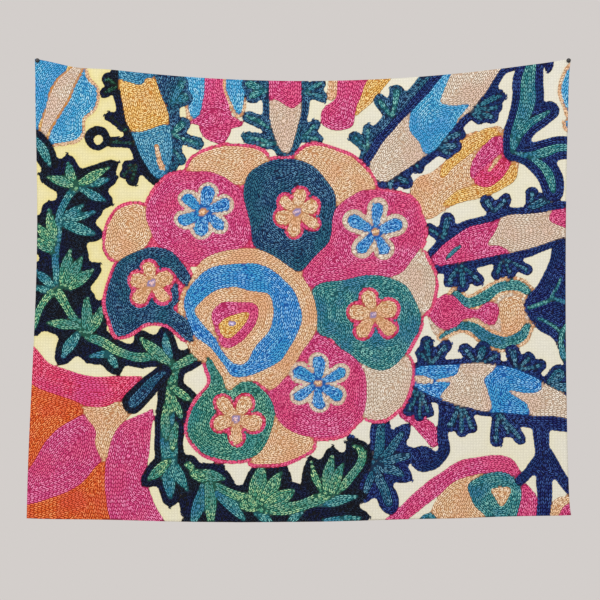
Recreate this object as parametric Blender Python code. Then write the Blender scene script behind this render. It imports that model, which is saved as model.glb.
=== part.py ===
"""Suzani embroidered hanging, held to a wall by a pin through each top corner.

Metres, +Z up. The embroidered face looks along -Y and the wall side is +Y. The origin is the middle
of the cloth's top edge, where it sags lowest between the pins.
"""

import math

import bmesh
import bpy
from mathutils import Matrix

# Cloth outline, as it hangs
HALF_WIDTH = 0.426  # from the middle to each top corner
SIDE_DROP = 0.727  # from a top corner down to the hem below it
TOP_SAG = 0.0364  # how far the top edge hangs below its corners
TOP_DIP = 0.004  # a small extra dip beside the left pin
TOP_DIP_AT = -0.84
TOP_DIP_REACH = 0.08
HEM_SAG = 0.0095  # how far the bottom edge bows down, lowest left of the middle
HEM_LOWEST_AT = -0.2
HEM_CURVE = 1.3
LEFT_BOW = 0.0055  # how far each side is drawn in between its corners
RIGHT_BOW = 0.009
LEFT_FLARE = 0.011  # the bottom left corner swings out
RIGHT_PULL = 0.002
SHEET = 0.002  # ground cloth with its stitches

# Folds, as how far the cloth stands off the wall
STAND_OFF = 0.005
SWAG_DEPTH = 0.006  # troughs that hang from pin to pin
SWAG_STEP = 0.155
SWAG_FADE = 0.34
RIPPLE_DEPTH = 0.0085  # upright ripples that open towards the hem
# Each ripple's middle and reach as shares of the half width, and its share of the depth
RIPPLES = (
    (-0.96, 0.15, 1.0),
    (-0.45, 0.17, 0.55),
    (0.1, 0.2, 0.85),
    (0.57, 0.14, 0.6),
    (0.97, 0.12, 0.9),
)
PIN_FLAT = 0.024  # round a pin the cloth lies flat against the wall as far as this
PIN_EASE = 0.08  # and from here on it hangs free

# Pins
PIN_IN = 0.0042  # from a top corner to its pin, inwards and down
PIN_DOWN = 0.003
HEAD_RADIUS = 0.0035
HEAD_HEIGHT = 0.0030
HEAD_RIM = 0.0008
SHANK_RADIUS = 0.0006
SHANK_LENGTH = 0.0115
TIP_LENGTH = 0.0025
CLEARANCE = 0.0003

# Mesh steps
COLUMNS = 46
ROWS = 36
HOLE_SIDES = 16
TURN_STEPS = 24
DOME_STEPS = 5


def smooth(low, high, value):
    """0 below low, 1 above high and an S-shaped rise between them."""
    t = min(max((value - low) / (high - low), 0.0), 1.0)
    return t * t * (3 - 2 * t)


def top_edge(u):
    """Height of the top edge at u, which runs from -1 at the left corner to 1 at the right."""
    dip = TOP_DIP * math.exp(-(((u - TOP_DIP_AT) / TOP_DIP_REACH) ** 2))
    return TOP_SAG * u * u - dip


def hem(u):
    """Height of the bottom edge at u."""
    lowest = TOP_SAG - SIDE_DROP - 0.9 * HEM_SAG
    return lowest + HEM_SAG * abs(u - HEM_LOWEST_AT) ** HEM_CURVE


def left_side(v):
    """Distance along X of the left edge at v, which runs from 0 at the top to 1 at the hem."""
    return -HALF_WIDTH + LEFT_BOW * math.sin(math.pi * v) - LEFT_FLARE * smooth(0.3, 0.95, v)


def right_side(v):
    """Distance along X of the right edge at v."""
    return HALF_WIDTH - RIGHT_BOW * math.sin(math.pi * v) ** 0.5 - RIGHT_PULL * v


def pin_places():
    """X and Z of the two pins."""
    height = TOP_SAG - PIN_DOWN
    return {"pin_left": (-HALF_WIDTH + PIN_IN, height), "pin_right": (HALF_WIDTH - PIN_IN, height)}


def stand_off(x, z):
    """How far the cloth's middle layer stands off its place at the pins, towards the viewer."""
    across = x / HALF_WIDTH
    opening = max(1 - across * across, 0.0)
    down = max(TOP_SAG - z, 0.0)
    hang = down / (opening + 0.04)
    swag = 0.5 - 0.5 * math.cos(2 * math.pi * hang / SWAG_STEP)
    depth = STAND_OFF + SWAG_DEPTH * swag * opening ** 1.5 * (1 - smooth(0.0, SWAG_FADE, hang))
    low = smooth(0.15, 1.0, down / SIDE_DROP)
    for middle, reach, share in RIPPLES:
        depth += RIPPLE_DEPTH * share * low * math.exp(-(((across - middle) / reach) ** 2))
    for pin_x, pin_z in pin_places().values():
        near = math.hypot(x - pin_x, z - pin_z)
        depth *= smooth(PIN_FLAT, PIN_EASE, near)
    return depth


TOP_MIDDLE_OFF = stand_off(0.0, 0.0)


def on_cloth(u, v):
    """Point of the cloth's middle layer at u across and v down."""
    left, right = left_side(v), right_side(v)
    x = left + (right - left) * (u + 1) / 2
    z = top_edge(u) + (hem(u) - top_edge(u)) * v
    return x, TOP_MIDDLE_OFF - stand_off(x, z), z


def material(name, colour, roughness, metallic=0.0):
    """Principled material of one colour."""
    made = bpy.data.materials.new(name)
    made.use_nodes = True
    shader = made.node_tree.nodes["Principled BSDF"]
    shader.inputs["Base Color"].default_value = (*colour, 1.0)
    shader.inputs["Roughness"].default_value = roughness
    shader.inputs["Metallic"].default_value = metallic
    return made


def place_object(name, mesh_data, look=None):
    """New object from a bmesh, linked to the scene."""
    mesh = bpy.data.meshes.new(name)
    mesh_data.to_mesh(mesh)
    mesh_data.free()
    placed = bpy.data.objects.new(name, mesh)
    bpy.context.scene.collection.objects.link(placed)
    if look is not None:
        mesh.materials.append(look)
        mesh.shade_smooth()
    return placed


def hole_cutter(name, x, z):
    """Round bar through the cloth where a pin passes."""
    bar = bmesh.new()
    radius = SHANK_RADIUS + CLEARANCE
    turned = Matrix.Translation((x, TOP_MIDDLE_OFF, z)) @ Matrix.Rotation(math.pi / 2, 4, "X")
    bmesh.ops.create_cone(bar, cap_ends=True, segments=HOLE_SIDES, radius1=radius, radius2=radius,
                          depth=6 * SHEET, matrix=turned)
    cutter = place_object(name, bar)
    cutter.hide_render = True
    cutter.display_type = "WIRE"
    return cutter


def build_cloth(look):
    """Hanging sheet with its folds and the two pin holes."""
    sheet = bmesh.new()
    bmesh.ops.create_grid(sheet, x_segments=COLUMNS, y_segments=ROWS, size=1.0)
    for vert in sheet.verts:
        vert.co = on_cloth(vert.co.x, (1 - vert.co.y) / 2)
    bmesh.ops.recalc_face_normals(sheet, faces=sheet.faces)
    cloth = place_object("cloth", sheet, look)
    thick = cloth.modifiers.new("thickness", "SOLIDIFY")
    thick.thickness = SHEET
    thick.offset = 0.0
    for name, (x, z) in pin_places().items():
        cut = cloth.modifiers.new(name, "BOOLEAN")
        cut.operation = "DIFFERENCE"
        cut.solver = "EXACT"
        cut.object = hole_cutter(name + "_hole", x, z)
    return cloth


def pin_profile():
    """Radius and depth of the pin's outline, from the front of its head to its tip."""
    dome = HEAD_HEIGHT - HEAD_RIM
    outline = []
    for step in range(DOME_STEPS + 1):
        turn = math.pi / 2 * step / DOME_STEPS
        outline.append((HEAD_RADIUS * math.sin(turn), -HEAD_RIM - dome * math.cos(turn)))
    outline.append((HEAD_RADIUS, 0.0))
    outline.append((SHANK_RADIUS, 0.0))
    outline.append((SHANK_RADIUS, SHANK_LENGTH - TIP_LENGTH))
    outline.append((0.0, SHANK_LENGTH))
    return outline


def build_pin(name, x, z, look):
    """Domed pin whose shank runs back through the cloth into the wall."""
    pin = bmesh.new()
    points = [pin.verts.new((radius, depth, 0.0)) for radius, depth in pin_profile()]
    edges = [pin.edges.new(pair) for pair in zip(points, points[1:])]
    bmesh.ops.spin(pin, geom=points + edges, cent=(0, 0, 0), axis=(0, 1, 0), angle=2 * math.pi,
                   steps=TURN_STEPS, use_merge=True)
    bmesh.ops.remove_doubles(pin, verts=pin.verts, dist=0.00001)
    bmesh.ops.recalc_face_normals(pin, faces=pin.faces)
    placed = place_object(name, pin, look)
    placed.location = (x, TOP_MIDDLE_OFF - SHEET / 2 - CLEARANCE, z)
    placed.data.set_sharp_from_angle(angle=math.radians(40))
    return placed


def main():
    """Empties the scene and builds the cloth and its pins."""
    for old in list(bpy.data.objects):
        bpy.data.objects.remove(old)
    build_cloth(material("embroidered_cotton", (0.55, 0.2, 0.2), 0.85))
    black = material("black_enamel", (0.02, 0.02, 0.024), 0.35)
    for name, (x, z) in pin_places().items():
        build_pin(name, x, z, black)


main()
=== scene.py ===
"""Suzani embroidered hanging: its cotton ground, its chain stitch, its back, its pins and a plain studio.

Metres, in the CAD model's frame: the embroidered face looks along -Y and the origin is the middle of the
cloth's top edge. The chart of the embroidery is in millimetres, as x to the right of that point and down
below it. Each motif is drawn with a few smooth strokes and patches, filled with rows of chain stitch that
follow its edge, and every stitch is a mesh on the folds of the cloth.
"""
import logging
import math
from collections.abc import Iterator
from dataclasses import dataclass, field
from enum import Enum

import bmesh
import bpy
import numpy as np
from mathutils import Matrix, Vector


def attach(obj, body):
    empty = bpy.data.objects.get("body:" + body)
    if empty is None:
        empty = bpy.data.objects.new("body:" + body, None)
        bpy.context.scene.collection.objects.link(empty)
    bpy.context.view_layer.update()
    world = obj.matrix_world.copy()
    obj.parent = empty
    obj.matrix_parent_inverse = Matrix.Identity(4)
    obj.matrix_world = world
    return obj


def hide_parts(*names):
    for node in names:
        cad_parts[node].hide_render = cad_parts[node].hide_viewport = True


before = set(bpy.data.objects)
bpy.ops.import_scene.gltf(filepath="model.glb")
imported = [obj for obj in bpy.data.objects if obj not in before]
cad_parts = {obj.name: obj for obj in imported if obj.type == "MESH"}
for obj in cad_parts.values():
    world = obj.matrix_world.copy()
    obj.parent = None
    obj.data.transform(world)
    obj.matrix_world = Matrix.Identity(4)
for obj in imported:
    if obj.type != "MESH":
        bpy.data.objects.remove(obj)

LOG = logging.getLogger("hanging")
MM = 0.001
BODY = "root"
BAKE_MAP = "OFBake"


@dataclass(frozen=True)
class Dye:
    """Colours of one thread: painted shade for its hollows, its flank, a painted highlight for its crown, and
    where the dye strays.
    """

    dark: str
    mid: str
    light: str
    stray: str


class Thread(Enum):
    """The dyed threads of the embroidery."""

    PINK = Dye("860c3c", "d04080", "ffb4dc", "e0507c")
    ROSE = Dye("96183e", "e04474", "ff9cb8", "e05890")
    CRIMSON = Dye("8a0a2c", "de3c68", "ff9cba", "d64a94")
    ORANGE = Dye("8c1a04", "dc6024", "ffb878", "dc4444")
    NAVY = Dye("040a22", "183e6c", "70aaca", "166474")
    INK = Dye("030307", "0a0e1c", "24384e", "0e1648")
    TEAL = Dye("04343c", "287e86", "a4e0d0", "2068a4")
    GREEN = Dye("063830", "2c7e74", "b4ecc4", "268a96")
    LEAF = Dye("042820", "409478", "daf2ac", "207c90")
    BLUE = Dye("083a80", "2c8ad4", "b8e8fc", "34a4d0")
    SKY = Dye("0e5488", "44acd8", "c4ecf4", "2888d0")
    PEACH = Dye("a06a40", "e0bc92", "fcf2e0", "e4a67c")
    CREAM = Dye("a0846c", "d8c8b4", "f8f6ee", "dcb8a6")
    INDIGO = Dye("030318", "121a5e", "486eb0", "0a3060")
    MOSS = Dye("040c08", "163e2e", "5ca07c", "0e2c44")
    MARINE = Dye("040e28", "18567a", "88bcd0", "187080")
    GOLD = Dye("9c5c18", "e4b45c", "fff4bc", "e8c898")
    LILAC = Dye("6c6490", "c6b4dc", "f4ecfa", "e4b08c")
    LAGOON = Dye("0a3c60", "388cb4", "a4dce6", "2c7cb0")


class Part(Enum):
    """The groups of motifs, each of which becomes one piece."""

    PETALS = "medallion_petals"
    LOBES = "medallion_lobes"
    BLOSSOMS = "medallion_flowers"
    EYE = "medallion_eye"
    CORNER = "corner_flower"
    VINE = "leafy_vine"
    ALMONDS = "almonds"
    SPRIGS = "dark_sprigs"
    TULIPS = "tulips"


def linear(code: str) -> tuple[float, float, float, float]:
    """Linear colour of an sRGB hex code such as d3cecb.

    Args:
        code: Six hex digits.

    Returns:
        Red, green, blue and an alpha of 1.
    """
    parts = [int(code[k:k + 2], 16) / 255 for k in (0, 2, 4)]
    red, green, blue = (v / 12.92 if v <= 0.04045 else ((v + 0.055) / 1.055) ** 2.4 for v in parts)
    return red, green, blue, 1.0


def through(knots: tuple, closed: bool = False, step: float = 1.5) -> np.ndarray:
    """Points along a smooth curve through knots.

    Args:
        knots: Tuples of x, down and any more values that run along the curve.
        closed: Whether the curve goes back to its first knot.
        step: Distance between points, in mm.

    Returns:
        One row per point.
    """
    given = np.asarray(knots, float)
    if len(given) == 1:
        return given
    if closed:
        around = np.vstack([given[-1], given, given[:2]])
    else:
        around = np.vstack([2 * given[0] - given[1], given, 2 * given[-1] - given[-2]])
    points = []
    for a, b, c, d in zip(around, around[1:], around[2:], around[3:]):
        count = max(int(np.hypot(*(c - b)[:2]) / step), 2)
        t = np.linspace(0, 1, count, endpoint=False)[:, None]
        points.append(0.5 * (2 * b + (c - a) * t + (2 * a - 5 * b + 4 * c - d) * t ** 2
                             + (3 * b - a - 3 * c + d) * t ** 3))
    if not closed:
        points.append(given[-1:])
    return np.vstack(points)


@dataclass(frozen=True)
class Brush:
    """A stroke whose half width changes along it: knots of x, down and half width."""

    knots: tuple
    thinnest: float = 0.3  # half width that it keeps at least

    def track(self) -> np.ndarray:
        """Points of x, down and half width along the stroke.

        Returns:
            One row per point.
        """
        track = through(self.knots)
        track[:, 2] = np.maximum(track[:, 2], self.thinnest)
        return track

    def reach(self) -> tuple[np.ndarray, np.ndarray]:
        """Lowest and highest x and down."""
        track = self.track()
        return (track[:, :2] - track[:, 2:]).min(0), (track[:, :2] + track[:, 2:]).max(0)

    def depth(self, x: np.ndarray, down: np.ndarray) -> np.ndarray:
        """Distance to the stroke's edge at each place, negative inside it.

        Args:
            x: Places to the right, in mm.
            down: Places down, in mm.

        Returns:
            One distance per place, in mm.
        """
        nearest = np.full(x.shape, np.inf)
        for at_x, at_down, half in self.track():
            np.minimum(nearest, np.hypot(x - at_x, down - at_down) - half, out=nearest)
        return nearest


@dataclass(frozen=True)
class Patch:
    """A closed shape with a smooth edge through knots of x and down."""

    knots: tuple

    def reach(self) -> tuple[np.ndarray, np.ndarray]:
        """Lowest and highest x and down."""
        edge = through(self.knots, closed=True)
        return edge.min(0), edge.max(0)

    def depth(self, x: np.ndarray, down: np.ndarray) -> np.ndarray:
        """Distance to the edge at each place, negative inside it.

        Args:
            x: Places to the right, in mm.
            down: Places down, in mm.

        Returns:
            One distance per place, in mm.
        """
        edge = through(self.knots, closed=True, step=3.0)
        nearest = np.full(x.shape, np.inf)
        inside = np.zeros(x.shape, bool)
        for (ax, ad), (bx, bd) in zip(edge, np.roll(edge, -1, axis=0)):
            ex, ed = bx - ax, bd - ad
            t = np.clip(((x - ax) * ex + (down - ad) * ed) / max(ex * ex + ed * ed, 1e-9), 0, 1)
            np.minimum(nearest, np.hypot(x - ax - t * ex, down - ad - t * ed), out=nearest)
            if ad != bd:
                inside ^= ((ad > down) != (bd > down)) & (x < ex * (down - ad) / ed + ax)
        return np.where(inside, -nearest, nearest)


Shape = Brush | Patch


def brush(*values: float) -> Brush:
    """Stroke along knots, given as x, down and half width in turn."""
    return Brush(tuple(zip(values[::3], values[1::3], values[2::3])))


def patch(*values: float) -> Patch:
    """Patch through knots, given as x and down in turn."""
    return Patch(tuple(zip(values[::2], values[1::2])))


def oval(x: float, down: float, across: float, tall: float, turn: float = 0.0) -> Patch:
    """Oval patch, turned clockwise by some degrees.

    Args:
        x: Its middle, to the right.
        down: Its middle, down.
        across: Half its width.
        tall: Half its height.
        turn: Degrees that it is turned.

    Returns:
        The patch.
    """
    c, s = math.cos(math.radians(turn)), math.sin(math.radians(turn))
    knots = []
    for k in range(8):
        p, q = across * math.cos(math.tau * k / 8), tall * math.sin(math.tau * k / 8)
        knots.append((x + p * c - q * s, down + p * s + q * c))
    return Patch(tuple(knots))


@dataclass
class Chart:
    """The design as a grid of region numbers, over the cloth and a little past it."""

    low: tuple[float, float] = (-450.0, -50.0)
    high: tuple[float, float] = (440.0, 715.0)
    cell: float = 0.9
    threads: list = field(default_factory=lambda: [None])  # of each region, and bare ground is 0
    parts: list = field(default_factory=lambda: [None])
    x: np.ndarray = field(init=False)  # middles of the columns and rows
    down: np.ndarray = field(init=False)
    region: np.ndarray = field(init=False)

    def __post_init__(self) -> None:
        """Makes the empty grid."""
        columns = int((self.high[0] - self.low[0]) / self.cell)
        rows = int((self.high[1] - self.low[1]) / self.cell)
        self.x = self.low[0] + self.cell * (np.arange(columns) + 0.5)
        self.down = self.low[1] + self.cell * (np.arange(rows) + 0.5)
        self.region = np.zeros((rows, columns), np.int32)

    def new_region(self, thread: Thread, part: Part) -> int:
        """Number of a new region that is worked in one thread.

        Args:
            thread: The thread.
            part: The group of motifs that it belongs to.

        Returns:
            The number.
        """
        self.threads.append(thread)
        self.parts.append(part)
        return len(self.threads) - 1

    def paint(self, shape: Shape, number: int, grow: float = 0.0,
              within: Shape | None = None) -> None:
        """Gives the cells under a shape to a region.

        Args:
            shape: The stroke or patch.
            number: The region's number, or 0 for bare ground.
            grow: How far past its edge the shape is painted.
            within: A shape that the paint stays inside.
        """
        low, high = shape.reach()
        first = [int((low[k] - grow - self.low[k]) / self.cell) - 3 for k in (0, 1)]
        last = [int((high[k] + grow - self.low[k]) / self.cell) + 4 for k in (0, 1)]
        columns, rows = (slice(max(a, 0), max(b, 0)) for a, b in zip(first, last))
        x, down = np.meshgrid(self.x[columns], self.down[rows])
        if not x.size:
            return
        # No drawn line is quite even: places are pushed about by up to 1.7 mm
        push_x = np.sin(down / 11.0 + 1.3) + 0.7 * np.sin(x / 7.1 + down / 17.0)
        push_down = np.sin(x / 12.3 + 0.4) + 0.7 * np.sin(down / 6.7 - x / 19.0)
        x, down = x + push_x, down + push_down
        covered = shape.depth(x, down) < grow
        if within is not None:
            covered &= within.depth(x, down) < 0
        self.region[rows, columns][covered] = number

    def close(self, number: int, gap: float) -> None:
        """Gives a region the bare cells in its gaps that are narrower than twice a width.

        Args:
            number: The region's number.
            gap: The width, in mm.
        """
        steps = round(gap / self.cell)
        wide = self.region == number
        for turn in range(steps):
            wide = spread_out(wide, turn % 2 == 0)
        outer = ~wide
        for turn in range(steps):
            outer = spread_out(outer, turn % 2 == 0)
        self.region[~outer & (self.region == 0)] = number

    def tidy(self, thinnest: float = 1.4) -> None:
        """Gives slivers thinner than twice a width to the region beside them.

        Args:
            thinnest: The width, in mm.
        """
        kept = self.to_border() > thinnest
        # What is left of a wider region grows back to its edge, and a little past it
        for _ in range(math.ceil((thinnest + 1.2) / self.cell)):
            for there, here in neighbours(1):
                kept[here] |= kept[there] & (self.region[there] == self.region[here])
        while not kept.all():
            for there, here in neighbours(1):
                taken = kept[there] & ~kept[here]
                self.region[here][taken] = self.region[there][taken]
                kept[here][taken] = True

    def to_border(self) -> np.ndarray:
        """Distance from each cell to the nearest border between two regions, in mm.

        Returns:
            One distance per cell.
        """
        far_off = 9999.0
        nearest = np.full((2, *self.region.shape), far_off, np.float32)
        row, column = np.nonzero(self.region[:, 1:] != self.region[:, :-1])
        for side in (0, 1):
            nearest[:, row, column + side] = row, column + 0.5
        row, column = np.nonzero(self.region[1:] != self.region[:-1])
        for side in (0, 1):
            nearest[:, row + side, column] = row + 0.5, column
        place = np.indices(self.region.shape).astype(np.float32)
        gap = ((nearest - place) ** 2).sum(0)
        # Each cell takes over the border of a cell beside it if that is nearer, from far ones to near ones
        for step in (64, 32, 16, 8, 4, 2, 1, 1):
            for there, here in neighbours(step):
                offered = nearest[(slice(None), *there)]
                reach = ((offered - place[(slice(None), *here)]) ** 2).sum(0)
                closer = reach < gap[here]
                gap[here][closer] = reach[closer]
                nearest[(slice(None), *here)][:, closer] = offered[:, closer]
        return np.sqrt(gap) * self.cell

    def cell_of(self, places: np.ndarray) -> tuple[np.ndarray, np.ndarray]:
        """Row and column of the cell at each x and down.

        Args:
            places: Places, as x and down along the last axis.

        Returns:
            Their rows and columns.
        """
        rows, columns = self.region.shape
        column = ((places[..., 0] - self.low[0]) / self.cell).astype(int)
        row = ((places[..., 1] - self.low[1]) / self.cell).astype(int)
        return np.clip(row, 0, rows - 1), np.clip(column, 0, columns - 1)


def neighbours(step: int) -> Iterator[tuple[tuple, tuple]]:
    """Pairs of windows on a grid, the first shifted from the second by a step in one of eight directions.

    Args:
        step: The step, in cells.

    Returns:
        Rows and columns of the one window and of the other.
    """
    spans = {0: (slice(None), slice(None)), step: (slice(step, None), slice(None, -step)),
             -step: (slice(None, -step), slice(step, None))}
    for down in (-step, 0, step):
        for right in (-step, 0, step):
            if down or right:
                yield (spans[down][0], spans[right][0]), (spans[down][1], spans[right][1])


def spread_out(mask: np.ndarray, corners: bool) -> np.ndarray:
    """A mask grown by one cell to its sides, and to its corners too if asked.

    Args:
        mask: The mask.
        corners: Whether it grows to its corners.

    Returns:
        The grown mask.
    """
    grown = mask.copy()
    for there, here in neighbours(1):
        if corners or slice(None) in here:
            grown[here] |= mask[there]
    return grown


@dataclass(frozen=True)
class Field:
    """One shape filled with one thread, with an outline in another if it has one."""

    part: Part
    thread: Thread
    shape: Shape
    outline: Thread | None = None
    edge: float = 4.5
    within: Shape | None = None

    def draw(self, chart: Chart) -> None:
        """Paints the outline and then the shape.

        Args:
            chart: The chart.
        """
        if self.outline is not None:
            number = chart.new_region(self.outline, self.part)
            chart.paint(self.shape, number, self.edge, self.within)
        chart.paint(self.shape, chart.new_region(self.thread, self.part), 0.0, self.within)


def fields(part: Part, *rows: tuple, within: Shape | None = None) -> Iterator[Field]:
    """Fields of one part, from rows of a thread, a shape and, if it has one, an outline and its width."""
    for thread, shape, *rim in rows:
        yield Field(part, thread, shape, *rim, within=within)


@dataclass(frozen=True)
class Foliage:
    """Strokes with a dark rim round a lighter core, whose narrow gaps are worked dark too."""

    part: Part
    edge: Thread
    core: Thread
    strokes: tuple
    plain: tuple = ()  # strokes without a core
    rim: float = 6.0  # how far the core stays inside its stroke
    gap: float = 3.0
    swell: float = 0.0  # how far the dark is worked past the strokes
    point: float = 0.0  # how far it runs to a point past their ends
    other: Thread = Thread.TEAL
    others: tuple = ()  # strokes with the other core, which lie below
    sharp: float = 0.5  # half width of a point
    thin: float = 1.8  # half width that a core keeps at least

    def draw(self, chart: Chart) -> None:
        """Paints every dark stroke, closes the gaps and then paints each core.

        Args:
            chart: The chart.
        """
        dark = chart.new_region(self.edge, self.part)
        for knots in self.plain:
            chart.paint(Brush(knots), dark)
        for knots in (*self.others, *self.strokes):
            if self.point:
                (ax, ad, _), (bx, bd, half) = knots[-2:]
                ahead = (half + self.point) / math.hypot(bx - ax, bd - ad)
                tip = (bx + (bx - ax) * ahead, bd + (bd - ad) * ahead, self.sharp)
                chart.paint(Brush((*knots, tip)), dark)
            chart.paint(Brush(knots), dark, self.swell)
        chart.close(dark, self.gap)
        for thread, strokes in ((self.other, self.others), (self.core, self.strokes)):
            for knots in strokes:
                core = tuple((x, down, max(half - self.rim, self.thin)) for x, down, half in knots)
                chart.paint(Brush(core), chart.new_region(thread, self.part))


def clumps(*groups: tuple) -> tuple:
    """Short strokes from the root of each group to its tips, which are knots of x, down and half width."""
    return tuple(((*root, 0.8 * tip[2]), tip) for root, *tips in groups for tip in tips)


def swollen(stroke: Brush, by: float) -> tuple:
    """Knots of a wider stroke along the same line."""
    return tuple((x, down, half + by) for x, down, half in stroke.knots)


@dataclass(frozen=True)
class Flower:
    """Round-ended petals about a centre, with an outline."""

    x: float
    down: float
    radius: float
    count: int
    petal: Thread
    outline: Thread
    centre: Thread
    turn: float
    edge: float
    plump: float  # half a petal's width, as a share of the radius
    # How far petals are uneven in their turn, in degrees, and in width and reach, as shares
    uneven: tuple = (5, 0.12, 0.08)
    root: float = 0.45  # a petal's width at its root, as a share of its full width
    heart: tuple = (6.5, 6.0)  # half the centre's width and height

    def draw(self, chart: Chart) -> None:
        """Paints the outline, the petals and the centre.

        Args:
            chart: The chart.
        """
        petals = []
        turned, fuller, longer = self.uneven
        for k in range(self.count):
            angle = math.radians(self.turn + 360 * k / self.count + turned * math.sin(3.1 * k + self.x))
            half = self.radius * self.plump * (1 + fuller * math.sin(2.3 * k + self.down))
            reach = self.radius * (1 + longer * math.sin(1.7 * k + self.x)) - half
            tip = (self.x + reach * math.sin(angle), self.down - reach * math.cos(angle))
            petals.append(Brush(((self.x, self.down, half * self.root), (*tip, half))))
        rim = chart.new_region(self.outline, Part.BLOSSOMS)
        for petal in petals:
            chart.paint(petal, rim, self.edge)
        for petal in petals:
            chart.paint(petal, chart.new_region(self.petal, Part.BLOSSOMS))
        chart.paint(oval(self.x, self.down, *self.heart), chart.new_region(self.centre, Part.BLOSSOMS))


Motif = Field | Foliage | Flower


def tulips() -> Iterator[Field]:
    """Flowers that stand on the bare ground between the almonds, and along the right side.

    Returns:
        Each motif, the furthest first.
    """
    part, sky, peach, pink = Part.TULIPS, Thread.SKY, Thread.PEACH, Thread.PINK
    gold, teal, crimson, orange = Thread.GOLD, Thread.TEAL, Thread.CRIMSON, Thread.ORANGE
    waves = (brush(241, 336, 5, 262, 352, 8, 286, 342, 9, 310, 328, 9, 338, 324, 9, 356, 332, 7),
        brush(219, 404, 3, 242, 390, 7, 268, 390, 9, 296, 408, 10, 322, 416, 10, 346, 404, 8, 355, 388, 5))
    yield from fields(
        part,
        # Top left, blue about a peach slit
        (sky, patch(-358, -34, -340, -4, -327, 14, -333, 42, -349, 58, -350, 82, -366, 96, -408, 98,
            -412, 92, -385, 50), peach),
        (sky, patch(-450, -60, -385, -60, -372, -28, -396, 2, -410, 52, -420, 92, -450, 96)),
        (Thread.CREAM, brush(-350, -30, 4, -364, -12, 9, -385, 20, 14, -403, 62, 8, -414, 92, 4), gold, 3.6),
        # Pink between two blue petals
        (sky, brush(-178, -30, 26, -170, 16, 18, -172, 50, 8), peach, 5.0),
        (sky, brush(-96, -30, 20, -106, 10, 15, -103, 40, 8, -101, 52, 3), peach, 4.0),
        (pink, brush(-139, -30, 16, -140, 10, 15, -140, 44, 22, -138, 70, 26, -132, 88, 12)),
        (pink, brush(-140, 62, 18, -98, 67, 4)),
        (pink, brush(-145, 60, 15, -176, 64, 3)),
        # Pink and gold, right of the middle
        (gold, brush(138, -20, 12, 112, 10, 13, 94, 36, 9, 84, 52, 4)),
        (peach, brush(56, -30, 12, 52, 8, 12, 44, 24, 7)),
        (pink, patch(62, -14, 104, -14, 96, 16, 84, 44, 80, 72, 56, 78, 32, 70, 31, 44, 52, 26)),
        # Peach and gold with a pink heart
        (peach, patch(206, 142, 234, 120, 254, 88, 296, 72, 318, 78, 324, 108, 342, 132, 332, 162, 284, 184,
            240, 197, 198, 218, 184, 190, 168, 176, 184, 152)),
        (gold, brush(222, 148, 5, 244, 118, 11, 268, 98, 12, 298, 84, 10, 314, 94, 5)),
        (gold, brush(226, 194, 5, 256, 180, 10, 300, 166, 11, 328, 150, 11, 334, 136, 5)),
        (pink, brush(272, 150, 6, 286, 128, 16, 304, 104, 15, 310, 96, 9)),
        (crimson, brush(276, 158, 6, 296, 150, 16, 318, 128, 13, 322, 118, 5)),
        (peach, brush(294, 142, 2.2, 306, 128, 3.2, 312, 120, 2.4)),
        # Blue at the top right corner
        (sky, brush(436, -14, 16, 426, 20, 16, 432, 50, 12), peach, 5.0),
        (sky, brush(422, 70, 6, 440, 80, 8), peach),
        # Peach with teal waves and a pink neck
        (Thread.CREAM, patch(198, 366, 228, 336, 252, 354, 290, 358, 322, 334, 352, 332, 350, 352, 356, 372,
            352, 390, 330, 412, 306, 414, 268, 390, 240, 386, 214, 402), orange, 2.6),
        *((Thread.CREAM, wave, peach, 4.6) for wave in waves),
        *((teal, wave) for wave in waves),
        (pink, patch(198, 367, 216, 343, 238, 341, 256, 358, 276, 362, 290, 350, 308, 352, 310, 366,
            304, 385, 288, 383, 275, 374, 256, 377, 240, 392, 216, 391)),
        (peach, patch(314, 352, 344, 342, 352, 372, 344, 394, 316, 400)),
        # Small pink piece, and the flower at the lower right
        (pink, brush(160, 529, 8, 182, 539, 11, 200, 555, 13, 206, 572, 8)),
        (peach, patch(190, 720, 204, 676, 220, 644, 248, 624, 290, 612, 310, 640, 306, 720, 240, 730)),
        (teal, patch(184, 700, 194, 684, 210, 686, 214, 712)),
        (pink, brush(128, 716, 14, 168, 678, 13, 204, 646, 13, 246, 618, 13, 290, 606, 14, 324, 610, 12,
            342, 622, 6)),
        (pink, patch(344, 636, 362, 646, 373, 668, 370, 700, 360, 730, 326, 730, 338, 690)),
        (teal, patch(260, 642, 284, 624, 314, 620, 338, 630, 345, 650, 340, 690, 330, 730, 292, 730,
            290, 690, 272, 672)),
        (peach, patch(296, 646, 312, 644, 329, 645, 324, 662, 315, 676, 304, 662)),
        (peach, patch(392, 672, 412, 658, 440, 656, 440, 720, 386, 720)),
        (pink, patch(410, 676, 436, 668, 442, 710, 404, 718)),
    )


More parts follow.
